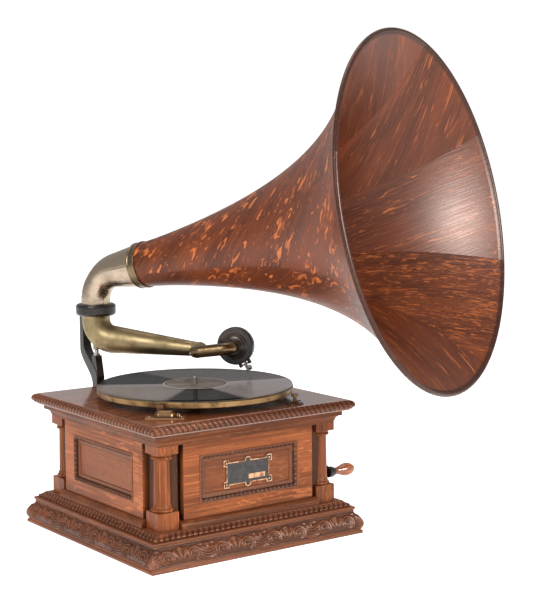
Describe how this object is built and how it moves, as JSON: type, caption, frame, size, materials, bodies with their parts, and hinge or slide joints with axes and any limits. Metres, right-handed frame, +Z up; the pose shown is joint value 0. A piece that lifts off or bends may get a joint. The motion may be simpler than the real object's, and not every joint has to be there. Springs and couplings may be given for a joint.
{
  "type": "horn gramophone",
  "caption": "Wind-up tabletop gramophone: square carved oak cabinet, turntable with record, swinging tone arm, hinged sound box and a large flared wooden horn on a rear bracket.",
  "frame": {"origin": "centre of the underside of the base", "axes": "+X to the right along the front, towards the crank; -Y to the front with the nameplate; +Z up along the turntable spindle"},
  "size_m": [0.6137, 0.6973, 0.7587],
  "materials": {
    "oak": "quarter-sawn, reddish brown, varnished",
    "oak_dark": "dark varnished oak",
    "horn_wood": "glossy varnished oak veneer",
    "plate_black": "black enamel with a bright edge",
    "brass": "satin, slightly aged",
    "bright_brass": "machined",
    "nickel": "satin worn nickel plate",
    "steel": "turned",
    "iron": "black japanned",
    "box_dark": "dark brown lacquer",
    "felt": "green-black felt",
    "shellac": "pressed shellac, grooved",
    "mica": "mica sheet",
    "rubber": "soft ring",
    "lead": "cast lead"
  },
  "bodies": {
    "cabinet": {"base_board": "oak_dark", "base_moulding": "oak", "base_band": "oak", "sill_rails": "oak", "column_front_left": "oak", "column_front_right": "oak", "column_back_left": "oak", "column_back_right": "oak", "corner_posts": "oak_dark", "front_panel": "oak", "left_panel": "oak", "right_panel": "oak", "back_panel": "oak", "panel_mouldings": "oak_dark", "cornice": "oak", "lid_board": "oak", "rope_edge": "oak", "nameplate": "plate_black", "crank_bush": "brass", "motor_bedplate": "iron", "motor_frame": "iron", "lid_screws": "steel", "bracket_block": "oak_dark", "horn_bracket": "iron", "bracket_bolts": "steel", "arm_pivot_screw": "brass", "brake_plate": "bright_brass", "speed_dial": "brass"},
    "turntable": {"turntable_spindle": "steel", "governor_wheel": "brass", "platter": "bright_brass", "felt_pad": "felt", "record": "shellac"},
    "barrel": {"spring_barrel": "steel", "great_wheel": "brass", "mainspring": "steel"},
    "arbor": {"winding_arbor": "steel"},
    "pawl": {"ratchet_pawl": "steel"},
    "intermediate": {"intermediate_wheel": "brass"},
    "governor": {"governor_shaft": "steel", "governor_weights": "lead", "governor_springs": "steel", "governor_disc": "brass"},
    "speed": {"speed_knob": "nickel"},
    "regulator": {"regulator_arm": "steel"},
    "brake": {"brake_lever": "bright_brass"},
    "crank": {"winding_shaft": "steel", "crank_arm": "iron"},
    "grip": {"crank_grip": "oak"},
    "arm": {"tonearm": "brass"},
    "neck": {"gooseneck": "brass", "soundbox_shell": "box_dark", "diaphragm": "mica", "soundbox_gaskets": "rubber"},
    "stylus": {"needle_bar": "iron", "needle": "steel"},
    "clamp": {"needle_screw": "iron"},
    "horn": {"horn_elbow": "nickel", "horn_ferrule": "brass", "horn_flare": "horn_wood"}
  },
  "joints": [
    {"name": "turntable_spin", "type": "hinge", "parent": "cabinet", "child": "turntable", "pos_m": [0, -0.014, 0.2], "axis": [0, 0, 1], "continuous": true},
    {"name": "intermediate_spin", "type": "hinge", "parent": "cabinet", "child": "intermediate", "pos_m": [0.02679, 0.02523, 0.15], "axis": [0, 0, 1], "continuous": true},
    {"name": "barrel_spin", "type": "hinge", "parent": "cabinet", "child": "barrel", "pos_m": [0.074, 0.02, 0.15], "axis": [0, 0, 1], "continuous": true},
    {"name": "governor_spin", "type": "hinge", "parent": "cabinet", "child": "governor", "pos_m": [0, -0.09, 0.118], "axis": [0, 1, 0], "continuous": true},
    {"name": "crank_turn", "type": "hinge", "parent": "cabinet", "child": "crank", "pos_m": [0.15, 0.02, 0.104], "axis": [1, 0, 0], "continuous": true},
    {"name": "arbor_turn", "type": "hinge", "parent": "cabinet", "child": "arbor", "pos_m": [0.074, 0.02, 0.12], "axis": [0, 0, 1], "continuous": true},
    {"name": "grip_spin", "type": "hinge", "parent": "crank", "child": "grip", "pos_m": [0.225, -0.091, 0.07591], "axis": [1, 0, 0], "continuous": true},
    {"name": "pawl_tilt", "type": "hinge", "parent": "cabinet", "child": "pawl", "pos_m": [0.07, 0.049, 0.092], "axis": [0, 0, 1], "range_deg": [-12, 0], "stiffness_Nm_per_rad": 0.02},
    {"name": "speed_turn", "type": "hinge", "parent": "cabinet", "child": "speed", "pos_m": [0.089, -0.151, 0.2], "axis": [0, 0, 1], "range_deg": [-60, 60]},
    {"name": "regulator_tilt", "type": "hinge", "parent": "cabinet", "child": "regulator", "pos_m": [0.05, -0.1275, 0.15], "axis": [0, 0, 1], "range_deg": [-2.6, 2.6]},
    {"name": "brake_turn", "type": "hinge", "parent": "cabinet", "child": "brake", "pos_m": [-0.11962, -0.13367, 0.212], "axis": [0, 0, 1], "range_deg": [0, 25]},
    {"name": "tonearm_swing", "type": "hinge", "parent": "cabinet", "child": "arm", "pos_m": [-0.0544, 0.195, 0.3], "axis": [0, 0, 1], "range_deg": [-18, 40]},
    {"name": "gooseneck_lift", "type": "hinge", "parent": "arm", "child": "neck", "pos_m": [0.05251, 0.05156, 0.26986], "axis": [-0.8018, -0.5976, 0], "range_deg": [0, 110]},
    {"name": "needle_bar_rock", "type": "hinge", "parent": "neck", "child": "stylus", "pos_m": [0.09969, -0.0067, 0.24908], "axis": [0.5311, -0.7125, 0.4586], "range_deg": [-0.5, 0.5], "stiffness_Nm_per_rad": 0.5},
    {"name": "needle_screw_turn", "type": "hinge", "parent": "stylus", "child": "clamp", "pos_m": [0.10347, -0.01178, 0.24335], "axis": [0.5311, -0.7125, 0.4586], "range_deg": [0, 180]},
    {"name": "horn_swivel", "type": "hinge", "parent": "cabinet", "child": "horn", "pos_m": [-0.0544, 0.195, 0.336], "axis": [0, 0, 1], "continuous": true}
  ],
  "couplings": [
    {"joint": "intermediate_spin", "follows": "turntable_spin", "ratio": -0.1875},
    {"joint": "barrel_spin", "follows": "turntable_spin", "ratio": 0.035156},
    {"joint": "governor_spin", "follows": "turntable_spin", "ratio": 9},
    {"joint": "arbor_turn", "follows": "crank_turn", "ratio": -0.25},
    {"joint": "regulator_tilt", "follows": "speed_turn", "ratio": -0.04}
  ]
}
